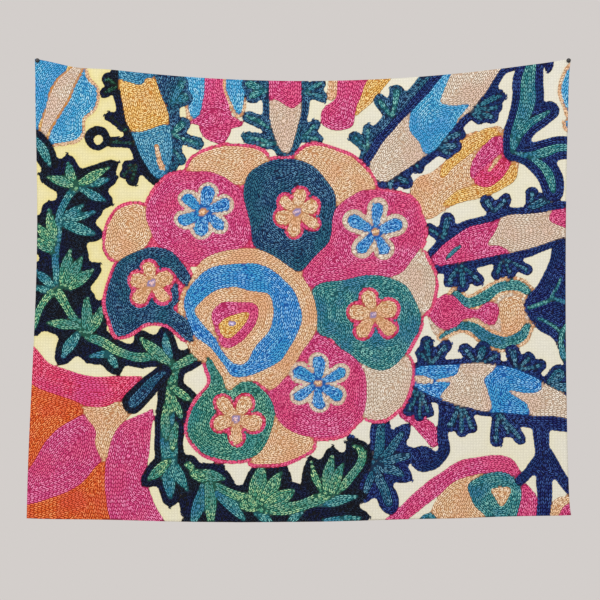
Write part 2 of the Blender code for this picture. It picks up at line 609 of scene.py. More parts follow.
def corner_flower() -> Iterator[Field]:
    """The large flower in the lower left corner.

    Returns:
        Each motif, the furthest first.
    """
    part = Part.CORNER
    yield from fields(
        part,
        (Thread.CRIMSON, patch(-455, 400, -424, 420, -400, 447, -352, 464, -300, 468, -256, 467, -254, 467,
            -276, 498, -306, 518, -346, 518, -390, 500, -455, 472)),
        (Thread.ORANGE, patch(-455, 458, -428, 480, -390, 497, -350, 513, -344, 526, -380, 554, -406, 584,
            -436, 644, -460, 650)),
        (Thread.PINK, patch(-455, 656, -434, 618, -402, 565, -352, 529, -342, 532, -324, 550, -328, 574,
            -317, 600, -356, 642, -418, 668, -455, 694)),
        (Thread.PEACH, patch(-354, 514, -352, 514, -318, 516, -288, 508, -273, 524, -295, 552, -306, 580,
            -317, 604, -317, 604, -329, 576, -328, 552, -343, 532)),
        (Thread.PINK, patch(-238, 519, -238, 519, -270, 532, -294, 552, -310, 590, -316, 640, -306, 690,
            -290, 735, -196, 735, -218, 698, -240, 660, -247, 626, -243, 580, -239, 545)),
        (Thread.ORANGE, patch(-317, 602, -356, 642, -410, 663, -458, 682, -458, 735, -290, 735, -304, 700,
            -314, 650)),
    )


def medallion() -> Iterator[Field]:
    """Seven petals about the eye, on peach lobes, with a rose rim round them all.

    Returns:
        Each motif, the furthest first.
    """
    lobes = (
        oval(-276, 240, 34, 50, 28), oval(-118, 134, 64, 31, -4), oval(50, 152, 72, 40, 28),
        oval(168, 314, 40, 62, -12), oval(122, 476, 50, 62, 20), patch(-60, 524, -30, 543, 0, 556, 17, 572,
            4, 590, -34, 604, -84, 606, -64, 570),
    )
    petals = (
        (Thread.PINK, oval(-163, 216, 86, 74, 12)),
        (Thread.NAVY, patch(-30, 122, -78, 140, -96, 176, -84, 218, -78, 262, -40, 292, 0, 300, 40, 256,
            52, 205, 46, 170, 14, 134)),
        (Thread.PINK, patch(120, 173, 166, 184, 188, 214, 190, 252, 168, 292, 140, 310, 60, 322, 14, 328,
            0, 302, 40, 256, 52, 204, 84, 178)),
        (Thread.TEAL, patch(16, 330, 66, 314, 120, 308, 160, 324, 184, 360, 180, 402, 150, 446, 116, 457,
            80, 440, 48, 410, 22, 396)),
        (Thread.PINK, patch(12, 402, 50, 416, 88, 446, 101, 484, 94, 530, 64, 558, 18, 566, -28, 548,
            -52, 510, -54, 478, -34, 444)),
        (Thread.GREEN, patch(-150, 436, -138, 456, -118, 478, -84, 476, -54, 500, -46, 540, -66, 586,
            -112, 602, -160, 590, -182, 552, -176, 516, -146, 480, -156, 452)),
        (Thread.NAVY, patch(-300, 400, -312, 350, -296, 294, -250, 264, -204, 274, -178, 310, -186, 326,
            -200, 314, -196, 348, -206, 362, -180, 380, -172, 412, -186, 410, -214, 388, -250, 384,
            -282, 404)),
    )
    for shape in (*lobes, *(shape for _, shape in petals)):
        yield Field(Part.LOBES, Thread.ROSE, shape, Thread.ROSE, 4.6)
    for number, shape in enumerate((*lobes, oval(-90, 366, 108, 104))):
        yield Field(Part.LOBES, Thread.CREAM if number in (3, 4) else Thread.PEACH, shape)
    for thread, shape in petals:
        yield Field(Part.PETALS, thread, shape)


def medallion_eye() -> Iterator[Field]:
    """Rings of peach and blue about a pink drop.

    Returns:
        Each motif, the furthest first.
    """
    part = Part.EYE
    yield from fields(
        part,
        (Thread.PEACH, patch(-186, 340, -160, 286, -110, 267, -62, 270, -14, 300, 16, 340, 20, 396, -6, 436,
            -46, 488, -66, 479, -92, 474, -118, 490, -130, 464, -146, 442, -172, 410)),
        (Thread.BLUE, patch(-187, 345, -162, 306, -112, 289, -66, 292, -24, 320, -2, 362, -10, 402, -34, 440,
            -66, 460, -110, 468, -128, 446, -150, 420, -176, 396)),
        (Thread.PEACH, patch(-172, 366, -146, 338, -112, 325, -80, 333, -52, 340, -46, 364, -56, 400,
            -76, 424, -90, 446, -112, 446, -130, 424, -140, 406)),
        (Thread.PINK, patch(-145, 372, -130, 353, -102, 350, -76, 353, -71, 370, -84, 398, -104, 416,
            -124, 424, -138, 400)),
        (Thread.GOLD, patch(-135, 388, -118, 372, -86, 366, -96, 388, -113, 406, -128, 404)),
        (Thread.LILAC, oval(-113, 384, 8, 4.5, -15)),
    )


def medallion_flowers() -> Iterator[Flower]:
    """One flower on each petal of the medallion.

    Returns:
        Each flower.
    """
    blue, cream, peach = Thread.BLUE, Thread.CREAM, Thread.PEACH
    for x, down, radius, count, petal, outline, centre, turn, edge, plump in (
            (-157, 208, 42, 6, blue, cream, peach, 10, 5.5, 0.25),
            (-9, 207, 38, 6, peach, Thread.CRIMSON, Thread.LILAC, 10, 4.4, 0.28),
            (114, 238, 44, 5, blue, cream, peach, 4, 7.5, 0.22),
            (111, 370, 42, 5, peach, Thread.CRIMSON, Thread.LILAC, -8, 4.6, 0.29),
            (25, 480, 44, 6, blue, cream, peach, 0, 6.0, 0.22),
            (-107, 534, 41, 5, peach, Thread.CRIMSON, Thread.LILAC, 32, 4.6, 0.29),
            (-241, 320, 38, 5, peach, Thread.CRIMSON, Thread.LILAC, -2, 4.4, 0.30)):
        yield Flower(x, down, radius, count, petal, outline, centre, turn, edge, plump)


# The five almonds, from the top left round to the lower right
ALMONDS = (
    brush(-270, -40, 24, -263, -4, 28, -256, 30, 32, -244, 66, 32, -234, 104, 27, -228, 132, 18,
          -225, 146, 10),
    brush(-28, -30, 25, -28, 10, 26, -28, 50, 25, -29, 86, 16, -28, 108, 6),
    brush(300, -60, 32, 268, -12, 34, 228, 36, 34, 186, 82, 33, 150, 114, 30, 128, 136, 22),
    brush(218, 281, 12, 246, 267, 21, 274, 256, 26, 308, 248, 28, 348, 239, 28, 420, 224, 21, 455, 218, 20),
    brush(174, 470, 11, 200, 472, 22, 246, 481, 32, 286, 485, 37, 320, 490, 36, 350, 496, 32, 376, 505, 25,
          420, 519, 16, 455, 526, 12),
)


def almonds() -> Iterator[Field]:
    """Five long almonds that point at the medallion, each in blocks of two or three threads.

    Returns:
        Each field, the furthest first.
    """
    part, cream, pink, blue = Part.ALMONDS, Thread.CREAM, Thread.PINK, Thread.BLUE
    for almond, whole, *blocks in (
            (ALMONDS[0], Thread.LAGOON,
             (Thread.GOLD, patch(-310, 2, -256, 6, -246, -6, -210, 4, -200, 60, -232, 72, -262, 80,
                                 -300, 74)),
             (Thread.PEACH, brush(-234, 104, 4, -228, 124, 4, -222, 138, 5))),
            (ALMONDS[1], cream,
             (pink, patch(-70, -50, 14, -50, 14, 34, -6, 36, -16, 44, -28, 40, -44, 30, -70, 32))),
            (ALMONDS[2], cream,
             (Thread.SKY, patch(234, -20, 230, 4, 217, 32, 240, 40, 262, 40, 200, 114, 184, 96, 170, 80,
                                172, 48, 190, 20))),
            (ALMONDS[3], cream,
             (pink, patch(190, 250, 250, 222, 310, 210, 306, 236, 292, 258, 314, 262, 332, 284, 280, 316,
                          190, 320)),
             (pink, patch(390, 220, 404, 198, 450, 192, 450, 240, 412, 232)),
             (Thread.TEAL, brush(228, 280, 3, 240, 270, 3.8, 250, 263, 3))),
            (ALMONDS[4], cream,
             (blue, patch(150, 440, 246, 436, 246, 452, 240, 467, 212, 473, 212, 475, 234, 478, 220, 494,
                          212, 516, 150, 510)),
             (cream, brush(174, 470, 4, 188, 473, 6.5, 203, 474, 3)),
             (blue, patch(316, 440, 302, 458, 286, 470, 292, 484, 298, 510, 296, 540, 352, 540, 355, 514,
                          340, 502, 326, 491, 362, 493, 380, 483, 350, 440)))):
        yield Field(part, whole, almond)
        yield from fields(part, *blocks, within=almond)


def dark_sprigs() -> Iterator[Motif]:
    """Branches that hug the almonds, with short leaves in clumps, and the sprays at the right.

    Returns:
        Each motif, the furthest first.
    """
    part, teal = Part.SPRIGS, Thread.TEAL
    yield Foliage(part, Thread.INK, Thread.MOSS, clumps(
        ((-292, 8), (-310, -4, 9), (-314, 19, 9)), ((-280, 78), (-307, 56, 8)), ((-270, 98), (-303, 97, 9)),
        ((-262, 132), (-279, 134, 8), (-283, 148, 8), (-271, 158, 9))), (swollen(ALMONDS[0], 12),))
    yield Foliage(part, Thread.NAVY, teal, clumps(
        ((-208, 34), (-187, 26, 13), (-192, 4, 12)), ((-206, 84), (-190, 68, 12), (-167, 98, 10)),
        ((-206, 110), (-194, 124, 9)),
        ((-60, 16), (-84, 4, 13), (-80, 24, 12)), ((-52, 76), (-86, 57, 10), (-72, 62, 9)),
        ((-44, 98), (-88, 89, 10), (-72, 104, 9)),
        ((4, 20), (27, 4, 10), (30, 26, 9)), ((-2, 90), (20, 71, 9), (22, 92, 10)),
        ((102, 110), (81, 90, 9), (104, 76, 9)), ((140, 56), (121, 31, 11), (149, 16, 11))), (
            ((-210, 146, 8), (-206, 110, 12), (-208, 80, 14), (-213, 44, 17), (-219, 10, 21),
             (-222, -34, 23)),
            swollen(ALMONDS[1], 11),
            ((97, 128, 9), (106, 106, 13), (126, 80, 15), (152, 52, 15), (180, 24, 16), (208, -6, 18),
             (238, -44, 18))))
    yield Foliage(part, Thread.INDIGO, Thread.MARINE, clumps(
        ((140, 148), (137, 165, 12), (164, 161, 11)), ((176, 122), (184, 138, 9)),
        ((206, 102), (229, 114, 10), (248, 84, 11), (240, 104, 11)),
        ((262, 44), (280, 58, 11), (300, 56, 11), (311, 24, 11), (306, 42, 10)),
        ((222, 248), (199, 233, 10), (230, 220, 12)), ((304, 208), (291, 189, 11), (320, 189, 11)),
        ((362, 198), (362, 177, 11), (394, 186, 14)),
        ((250, 292), (232, 316, 11), (252, 324, 11), (276, 314, 11)),
        ((318, 282), (306, 306, 9), (328, 304, 10), (354, 298, 10)),
        ((200, 448), (188, 432, 10), (197, 414, 11), (227, 420, 11)),
        ((276, 450), (258, 426, 11), (286, 423, 12), (304, 436, 10)),
        ((336, 458), (333, 430, 11), (358, 438, 10), (374, 450, 10)),
        ((388, 488), (404, 466, 16), (430, 484, 15)),
        ((186, 486), (148, 516, 10), (166, 524, 9), (184, 532, 9), (198, 524, 9)),
        ((248, 512), (234, 546, 11), (252, 556, 10), (268, 548, 10)),
        ((308, 524), (307, 570, 11), (326, 556, 9), (344, 566, 10))), (
            swollen(ALMONDS[2], 12), swollen(ALMONDS[3], 12), swollen(ALMONDS[4], 8),
            ((280, 20, 9), (312, -16, 10), (352, -30, 8), (386, -34, 9), (390, -18, 5)),
            ((222, 516, 9), (222, 560, 9), (222, 586, 9), (208, 602, 11), (190, 599, 21)),
            ((330, 536, 8), (380, 542, 10), (450, 548, 10)),
            ((378, 546, 13), (378, 590, 12), (382, 620, 12), (380, 720, 11)),
            ((374, 592, 8), (358, 618, 8), (344, 634, 8)), ((386, 588, 8), (406, 624, 9), (444, 670, 11))))
    # Broad leaves at the top right, and those that come in from the right edge
    yield Foliage(part, Thread.INDIGO, teal, (
        ((330, 116, 12), (336, 94, 20), (347, 62, 23), (356, 24, 25), (358, -4, 24), (362, -34, 20)),
        ((340, 92, 16), (360, 66, 18), (378, 56, 18), (390, 48, 16)),
        ((332, 114, 12), (360, 116, 18), (386, 112, 20), (408, 106, 19), (444, 106, 17)),
        ((362, 120, 16), (380, 134, 19), (392, 152, 20), (396, 176, 16))), (), 12.5)
    yield Field(part, Thread.INDIGO, patch(352, 354, 374, 318, 392, 284, 400, 262, 446, 250, 446, 460,
                                           414, 452, 398, 412, 368, 390))
    for vein in (((360, 358, 2.6), (384, 351, 3.2), (400, 346, 3), (420, 352, 2.4)),
                 ((408, 312, 2), (400, 332, 2.6), (392, 347, 2.2)),
                 ((370, 374, 2.2), (390, 384, 3), (406, 398, 3)),
                 ((416, 384, 3.4), (409, 408, 4.6), (414, 440, 4.6))):
        yield Field(part, teal, Brush(vein))


def leaves(*drawn: tuple) -> tuple:
    """Strokes of leaves, each given by its root, its tip and its half width."""
    return tuple(((x, down, 0.8 * half), (0.5 * (x + tip_x), 0.5 * (down + tip_down), half),
                  (tip_x, tip_down, 0.6 * half)) for x, down, tip_x, tip_down, half in drawn)


def vine() -> Iterator[Motif]:
    """The dark leafy vine down the left side and along the bottom, its leaves light or deep.

    Returns:
        Each motif, the furthest first.
    """
    deep = (
        ((-362, 172, 12), (-375, 188, 13), (-384, 212, 13), (-390, 246, 13), (-392, 286, 13),
         (-388, 330, 14)),
        ((-213, 500, 15), (-213, 550, 18), (-212, 590, 21), (-212, 616, 16)),
        *leaves((-424, 90, -399, 134, 15), (-344, 162, -306, 156, 14), (-352, 170, -313, 191, 15),
                (-381, 226, -348, 195, 16), (-373, 223, -328, 205, 14), (-377, 228, -331, 241, 16),
                (-396, 326, -425, 298, 15), (-398, 333, -428, 326, 13), (-356, 400, -381, 438, 16),
                (-300, 430, -339, 436, 14), (-306, 434, -297, 456, 14), (-211, 442, -219, 400, 15),
                (-212, 606, -211, 660, 18), (-207, 602, -183, 648, 16), (-154, 640, -174, 700, 18),
                (-142, 642, -92, 694, 18), (-80, 672, -46, 706, 17), (20, 668, 86, 658, 16),
                (36, 698, 92, 692, 16), (-22, 700, 6, 672, 15)),
    )
    maple = (
        ((116, 610, 16), (122, 574, 17), (124, 544, 15)), ((118, 606, 15), (142, 578, 15), (158, 558, 13)),
        ((118, 608, 15), (146, 598, 16), (166, 594, 14)), ((118, 612, 15), (144, 616, 15), (158, 624, 13)),
        ((114, 616, 15), (126, 642, 17), (136, 668, 15)), ((110, 604, 14), (90, 590, 14), (80, 574, 12)),
        ((112, 620, 14), (104, 640, 14), (96, 656, 12)),
    )
    light = (
        ((-390, 332, 14), (-406, 344, 13), (-419, 366, 13), (-427, 390, 12)),
        ((-388, 334, 14), (-374, 358, 14), (-360, 382, 14), (-344, 400, 14), (-316, 414, 14),
         (-290, 430, 14), (-262, 437, 14), (-232, 436, 14), (-206, 450, 14)),
        ((-203, 452, 13), (-206, 476, 15), (-210, 505, 15), (-212, 525, 13)),
        ((-182, 606, 13), (-168, 624, 13), (-142, 640, 13), (-112, 654, 14), (-84, 664, 16)),
        ((-92, 670, 17), (-50, 676, 18), (-10, 674, 17), (24, 662, 16), (46, 652, 14)),
        ((50, 652, 12), (74, 630, 14), (91, 605, 14), (91, 586, 13), (79, 578, 10)),
        *leaves((-363, 170, -372, 130, 16), (-366, 166, -405, 151, 16), (-355, 162, -305, 136, 15),
                (-396, 254, -402, 202, 16), (-398, 260, -424, 224, 16), (-398, 268, -428, 248, 15),
                (-382, 322, -367, 268, 16), (-376, 326, -350, 278, 16), (-370, 328, -332, 297, 16),
                (-356, 390, -407, 382, 15), (-345, 398, -341, 342, 16), (-338, 398, -317, 358, 16),
                (-214, 448, -256, 406, 17), (-206, 454, -150, 424, 15), (-208, 484, -174, 507, 14),
                (-207, 498, -193, 536, 14), (-215, 566, -221, 512, 15), (-208, 584, -200, 540, 14),
                (-214, 604, -244, 632, 16), (-172, 622, -124, 630, 18), (-150, 640, -143, 706, 17),
                (-78, 668, -64, 614, 21), (-64, 668, -34, 620, 18), (-56, 672, -18, 648, 19),
                (28, 650, 13, 606, 13), (36, 652, 45, 592, 16), (44, 652, 64, 604, 16)),
    )
    dark = patch(-200, 650, -178, 610, -130, 606, -118, 622, -98, 642, -82, 624, -62, 606, -24, 608, -14, 640,
                 -4, 640, 2, 608, 20, 602, 44, 606, 64, 596, 84, 600, 90, 660, 66, 690, 74, 735, -180, 735,
                 -190, 690)
    yield Field(Part.VINE, Thread.INK, dark)
    yield Foliage(Part.VINE, Thread.INDIGO, Thread.MARINE, maple, (), 8.5, 4.0, 0.0, 6.0)
    yield Foliage(Part.VINE, Thread.INK, Thread.LEAF, light, (), 7.2, 5.0, 2.5, 6.0, Thread.TEAL, deep)
    small = ((-222, 462, 13), (-244, 483, 17), (-262, 502, 17), (-272, 512, 15))
    yield Foliage(Part.VINE, Thread.INK, Thread.NAVY, (small,), (), 8.0)
    yield Field(Part.VINE, Thread.INK, oval(-326, 90, 20, 20))


def drawn_chart() -> Chart:
    """The whole design, painted from the furthest motif to the nearest.

    Returns:
        The chart.
    """
    chart = Chart()
    for motifs in (tulips, dark_sprigs, almonds, corner_flower, vine, medallion, medallion_eye,
                   medallion_flowers):
        for motif in motifs():
            motif.draw(chart)
    chart.paint(oval(-325, 92, 7, 9, 20), 0)
    chart.tidy()
    return chart


@dataclass
class Stitches:
    """Where each link of chain stitch lies on the chart, and how wide it is."""

    start: np.ndarray
    end: np.ndarray
    region: np.ndarray
    wide: np.ndarray


@dataclass(frozen=True)
class Pass:
    """Rows of links of one size: width and length, how near two rows may come, and how deep rows lie."""

    wide: float
    link: float
    clear: float
    depths: tuple


# The widest rows are drawn coarser than real, which are about 4.7 mm. The narrow ones work
# what those leave.
FILLING = Pass(3.4, 4.3, 2.1, ())
PASSES = (
    Pass(5.6, 6.3, 3.4, tuple(5.6 * (k + 0.5) for k in range(12))),
    Pass(3.9, 4.9, 2.3, tuple(4.0 * k for k in (0.5, 0.38, 0.25, *(0.5 * n for n in range(2, 28))))),
)


@dataclass
class StitchRows:
    """Lays rows of links inside every region of a chart, each row a fixed step further from its edge."""

    chart: Chart
    shortest: float = 2.6  # rows shorter than this aren't worked
    inset: float = 1.8  # how far from an edge a gap must lie to be filled
    held_back: int = 2  # links of a row that don't yet crowd the next ones
    stamp_reach: int = 5  # cells on each side of a place that a link may take
    found: list = field(default_factory=list)  # start, end, region and width of each link
    taken: np.ndarray = field(init=False)  # cells that are worked
    stamp: tuple = field(init=False)  # cells round a place that a link takes

    def lay(self) -> Stitches:
        """Works the wide rows first, then narrow ones in what is left, and then single links in the gaps.

        Returns:
            All the links.
        """
        depth = soften(soften(self.chart.to_border()))
        self.taken = np.zeros(depth.shape, bool)
        for size in (*PASSES, FILLING):
            side = 2 * self.stamp_reach + 1
            down, right = np.indices((side, side)) - self.stamp_reach
            near = np.hypot(down, right) * self.chart.cell < size.clear
            self.stamp = down[near], right[near]
            for level in size.depths:
                for track, closed in contours(depth, level):
                    self.work(track, closed, size)
        self.fill(depth)
        return Stitches(*(np.array(part) for part in zip(*self.found)))

    def work(self, track: np.ndarray, closed: bool, size: Pass) -> None:
        """Works one row along a contour, and leaves out the links that would crowd another row.

        Args:
            track: Row and column of each point of the contour.
            closed: Whether it is a ring.
            size: The size of its links.
        """
        chart = self.chart
        places = smoothed(np.array(chart.low) + (track[:, ::-1] + 0.5) * chart.cell, closed)
        if closed:
            places = np.vstack([places, places[:1]])
        along = np.concatenate([[0.0], np.cumsum(np.hypot(*np.diff(places, axis=0).T))])
        count = round(along[-1] / size.link)
        if count < 1 + closed or along[-1] < self.shortest:
            return
        at = np.linspace(0, along[-1], count + 1)
        knots = np.stack([np.interp(at, along, places[:, k]) for k in (0, 1)], axis=1)
        # Some rows run one way and some the other
        if int(knots[0].sum()) % 2:
            knots = knots[::-1]
        waiting: list = []
        for start, end in zip(knots, knots[1:]):
            row, column = chart.cell_of((start + end) / 2)
            region = chart.region[row, column]
            if self.taken[row, column] or chart.threads[region] is None:
                continue
            waiting.append(self.add(start, end, region, size.wide))
            if len(waiting) > self.held_back:
                self.mark(waiting.pop(0))
        for points in waiting:
            self.mark(points)

    def fill(self, depth: np.ndarray) -> None:
        """Works single links where the rows have left gaps, each along the nearest edge.

        Args:
            depth: Distance from each cell to its region's edge.
        """
        chart = self.chart
        steep_down, steep_right = np.gradient(depth)
        stitched = np.array([thread is not None for thread in chart.threads])[chart.region]
        for row, column in zip(*np.nonzero(stitched & (depth > self.inset) & ~self.taken)):
            if self.taken[row, column]:
                continue
            reach = np.array((-steep_down[row, column], steep_right[row, column])) + 1e-6
            reach *= FILLING.link / 2 / np.hypot(*reach)
            middle = np.array((chart.x[column], chart.down[row]))
            self.mark(self.add(middle - reach, middle + reach, chart.region[row, column], FILLING.wide))

    def add(self, start: np.ndarray, end: np.ndarray, region: int, wide: float) -> np.ndarray:
        """Adds a link, and gives points along it."""
        self.found.append((start, end, region, wide))
        return np.linspace(start, end, 5)

    def mark(self, points: np.ndarray) -> None:
        """Takes the cells round a link.

        Args:
            points: Points along it.
        """
        rows, columns = (size - 1 for size in self.taken.shape)
        for row, column in zip(*self.chart.cell_of(points)):
            beside = np.clip(row + self.stamp[0], 0, rows), np.clip(column + self.stamp[1], 0, columns)
            self.taken[beside] = True


def soften(values: np.ndarray) -> np.ndarray:
    """Each value averaged with those beside it.

    Args:
        values: A grid of values.

    Returns:
        The softened grid.
    """
    padded = np.pad(values, 1, mode="edge")
    padded = (padded[:-2] + 2 * padded[1:-1] + padded[2:]) / 4
    return (padded[:, :-2] + 2 * padded[:, 1:-1] + padded[:, 2:]) / 4


def smoothed(places: np.ndarray, closed: bool, reach: int = 3, passes: int = 2) -> np.ndarray:
    """A line of points with its small steps evened out.

    Args:
        places: The points.
        closed: Whether the line is a ring.
        reach: How many points on each side count.
        passes: How often it is done.

    Returns:
        The points of the new line.
    """
    if len(places) < 2 * reach + 2:
        return places
    for _ in range(passes):
        if closed:
            padded = np.vstack([places[-reach:], places, places[:reach]])
        else:
            before = 2 * places[0] - places[reach:0:-1]
            padded = np.vstack([before, places, 2 * places[-1] - places[-2:-reach - 2:-1]])
        places = sum(padded[k:len(padded) - 2 * reach + k] for k in range(2 * reach + 1)) / (2 * reach + 1)
    return places


# Sides of a grid square that a contour crosses, by which of its corners lie above the level
CROSSINGS = {
    1: ((3, 0),), 2: ((0, 1),), 3: ((3, 1),), 4: ((1, 2),), 5: ((3, 0), (1, 2)), 6: ((0, 2),), 7: ((3, 2),),
    8: ((3, 2),), 9: ((0, 2),), 10: ((3, 2), (0, 1)), 11: ((1, 2),), 12: ((3, 1),), 13: ((0, 1),),
    14: ((3, 0),)}


def contours(values: np.ndarray, level: float) -> Iterator[tuple[np.ndarray, bool]]:
    """Lines along which a grid of values crosses a level.

    Args:
        values: The grid.
        level: The level.

    Returns:
        Row and column of each point of a line, and whether the line is a ring.
    """
    rows, columns = values.shape
    above = (values >= level).astype(np.int8)
    case = above[:-1, :-1] + 2 * above[:-1, 1:] + 4 * above[1:, 1:] + 8 * above[1:, :-1]
    joined: dict[int, list[int]] = {}
    upright = rows * columns
    for row, column in zip(*np.nonzero((case > 0) & (case < 15))):
        corner = int(row) * columns + int(column)
        sides = (corner, upright + corner + 1, corner + columns, upright + corner)
        for one, other in CROSSINGS[int(case[row, column])]:
            joined.setdefault(sides[one], []).append(sides[other])
            joined.setdefault(sides[other], []).append(sides[one])
    ends = [side for side, beside in joined.items() if len(beside) == 1]
    for first in (*ends, *joined):
        if first not in joined or not joined[first]:
            continue
        line, here = [first], first
        while joined[here]:
            ahead = joined[here].pop()
            joined[ahead].remove(here)
            line.append(ahead)
            here = ahead
        closed = len(line) > 2 and line[0] == line[-1]
        at = np.array(line[:-1] if closed else line)
        row, column = np.divmod(at % upright, columns)
        down = (at >= upright).astype(int)
        begin, finish = values[row, column], values[np.minimum(row + down, rows - 1),
                                                    np.minimum(column + 1 - down, columns - 1)]
        share = np.where(begin == finish, 0.5, (level - begin) / np.where(begin == finish, 1, finish - begin))
        yield np.stack([row + share * down, column + share * (1 - down)], axis=1), closed


def smooth(low: float, high: float, value: np.ndarray) -> np.ndarray:
    """0 below low, 1 above high and an S-shaped rise between them."""
    t = np.clip((value - low) / (high - low), 0.0, 1.0)
    return t * t * (3 - 2 * t)


@dataclass(frozen=True)
class Hang:
    """The shape that the cloth hangs in, with the sizes of the CAD sheet."""

    half_width: float = 0.426
    side_drop: float = 0.727
    top_sag: float = 0.0364
    top_dip: tuple = (0.004, -0.84, 0.08)  # depth, place and reach
    hem_sag: tuple = (0.0095, -0.2, 1.3)  # depth, lowest place and curve
    left_bow: float = 0.0055
    right_bow: float = 0.009
    left_flare: float = 0.011
    right_pull: float = 0.002
    stand_off: float = 0.005
    swag: tuple = (0.006, 0.155, 0.34)  # depth, step and fade
    ripple_depth: float = 0.0085
    # Middle and reach of each ripple as shares of the half width, and its share of the depth
    ripples: tuple = ((-0.96, 0.15, 1.0), (-0.45, 0.17, 0.55), (0.1, 0.2, 0.85), (0.57, 0.14, 0.6),
                      (0.97, 0.12, 0.9))
    pin_ease: tuple = (0.024, 0.08)
    pin_in: float = 0.0042
    pin_down: float = 0.003
    face: float = 0.00015  # how far the cotton's face lies ahead of the middle layer
    back: float = 0.0006

    def top_edge(self, u: np.ndarray) -> np.ndarray:
        """Height of the top edge at u, from -1 at the left corner to 1 at the right."""
        depth, place, reach = self.top_dip
        return self.top_sag * u * u - depth * np.exp(-(((u - place) / reach) ** 2))

    def hem(self, u: np.ndarray) -> np.ndarray:
        """Height of the bottom edge at u."""
        depth, lowest, curve = self.hem_sag
        return self.top_sag - self.side_drop - 0.9 * depth + depth * np.abs(u - lowest) ** curve

    def sides(self, v: np.ndarray) -> tuple[np.ndarray, np.ndarray]:
        """X of the left and right edges at v, from 0 at the top to 1 at the hem.

        Args:
            v: How far down, as a share.

        Returns:
            X of the left edge and of the right one.
        """
        bulge = np.sin(np.pi * np.clip(v, 0, 1))
        left = -self.half_width + self.left_bow * bulge - self.left_flare * smooth(0.3, 0.95, v)
        return left, self.half_width - self.right_bow * np.sqrt(np.maximum(bulge, 0)) - self.right_pull * v

    def pins(self) -> tuple[tuple[float, float], tuple[float, float]]:
        """X and Z of the two pins."""
        across, height = self.half_width - self.pin_in, self.top_sag - self.pin_down
        return (-across, height), (across, height)

    def off_wall(self, x: np.ndarray, z: np.ndarray) -> np.ndarray:
        """How far the cloth's middle layer stands off its place at the pins.

        Args:
            x: X of each place.
            z: Z of each place.

        Returns:
            One distance per place.
        """
        across = x / self.half_width
        opening = np.maximum(1 - across * across, 0.0)
        down = np.maximum(self.top_sag - z, 0.0)
        hang = down / (opening + 0.04)
        depth, step, fade = self.swag
        trough = 0.5 - 0.5 * np.cos(2 * np.pi * hang / step)
        off = self.stand_off + depth * trough * opening ** 1.5 * (1 - smooth(0.0, fade, hang))
        low = smooth(0.15, 1.0, down / self.side_drop)
        for middle, reach, share in self.ripples:
            off = off + self.ripple_depth * share * low * np.exp(-(((across - middle) / reach) ** 2))
        for pin_x, pin_z in self.pins():
            off = off * smooth(*self.pin_ease, np.hypot(x - pin_x, z - pin_z))
        return off

    def depth_at(self, x: np.ndarray, z: np.ndarray) -> np.ndarray:
        """Y of the middle layer."""
        return self.off_wall(np.zeros(1), np.zeros(1)) - self.off_wall(x, z)

    def place(self, u: np.ndarray, v: np.ndarray) -> tuple[np.ndarray, np.ndarray]:
        """X and Z at u across and v down.

        Args:
            u: How far across, from -1 to 1.
            v: How far down, from 0 to 1.

        Returns:
            X and Z of each place.
        """
        left, right = self.sides(v)
        top = self.top_edge(u)
        return left + (right - left) * (u + 1) / 2, top + (self.hem(u) - top) * v

    def share(self, x: np.ndarray, z: np.ndarray) -> tuple[np.ndarray, np.ndarray]:
        """u and v at X and Z, also past the cloth's edges.

        Args:
            x: X of each place.
            z: Z of each place.

        Returns:
            How far across and how far down each place is.
        """
        u = x / self.half_width
        v = np.full_like(u, 0.5)
        for _ in range(3):
            top = self.top_edge(u)
            v = (top - z) / (top - self.hem(u))
            left, right = self.sides(np.clip(v, 0, 1))
            u = 2 * (x - left) / (right - left) - 1
        return u, v


def scatter(places: np.ndarray, salt: float) -> np.ndarray:
    """A number from 0 to 1 for each place that looks random and is the same in each run."""
    mixed = np.sin(places[..., 0] * 12.9898 + places[..., 1] * 78.233 + salt) * 43758.5453
    return mixed - np.floor(mixed)


def node(tree: bpy.types.NodeTree, kind: str, settings: dict | None = None,
         **inputs: object) -> bpy.types.Node:
    """Adds a node.

    Args:
        tree: The material's node tree.
        kind: The node's type without its ShaderNode prefix.
        settings: Attributes of the node.
        inputs: Value or linked socket for each input, by its name with _ for a blank, or in_ and its number.

    Returns:
        The node.
    """
    made = tree.nodes.new("ShaderNode" + kind)
    for name, value in (settings or {}).items():
        setattr(made, name, value)
    for name, value in inputs.items():
        socket = made.inputs[int(name[3:]) if name.startswith("in_") else name.replace("_", " ")]
        if isinstance(value, bpy.types.NodeSocket):
            tree.links.new(value, socket)
        else:
            socket.default_value = value
    return made


def ramp(tree: bpy.types.NodeTree, factor: bpy.types.NodeSocket, *stops: tuple) -> bpy.types.NodeSocket:
    """Colour that changes along stops.

    Args:
        tree: The material's node tree.
        factor: The socket that it follows.
        stops: Place and hex code of each stop.

    Returns:
        The socket of the colour.
    """
    made = node(tree, "ValToRGB", Fac=factor)
    band = made.color_ramp
    while len(band.elements) < len(stops):
        band.elements.new(0.5)
    for element, (place, code) in zip(band.elements, stops):
        element.position, element.color = place, linear(code)
    return made.outputs["Color"]


def principled(name: str, roughness: float = 0.5,
               specular: float = 0.5) -> tuple[bpy.types.Material, bpy.types.NodeTree, bpy.types.Node]:
    """New material.

    Args:
        name: Its name.
        roughness: How dull it is.
        specular: How strongly it mirrors light, 0.5 for a plain surface.

    Returns:
        The material, its node tree and its Principled shader.
    """
    made = bpy.data.materials.new(name)
    made.use_nodes = True
    shader = made.node_tree.nodes["Principled BSDF"]
    shader.inputs["Roughness"].default_value = roughness
    shader.inputs["Specular IOR Level"].default_value = specular
    return made, made.node_tree, shader


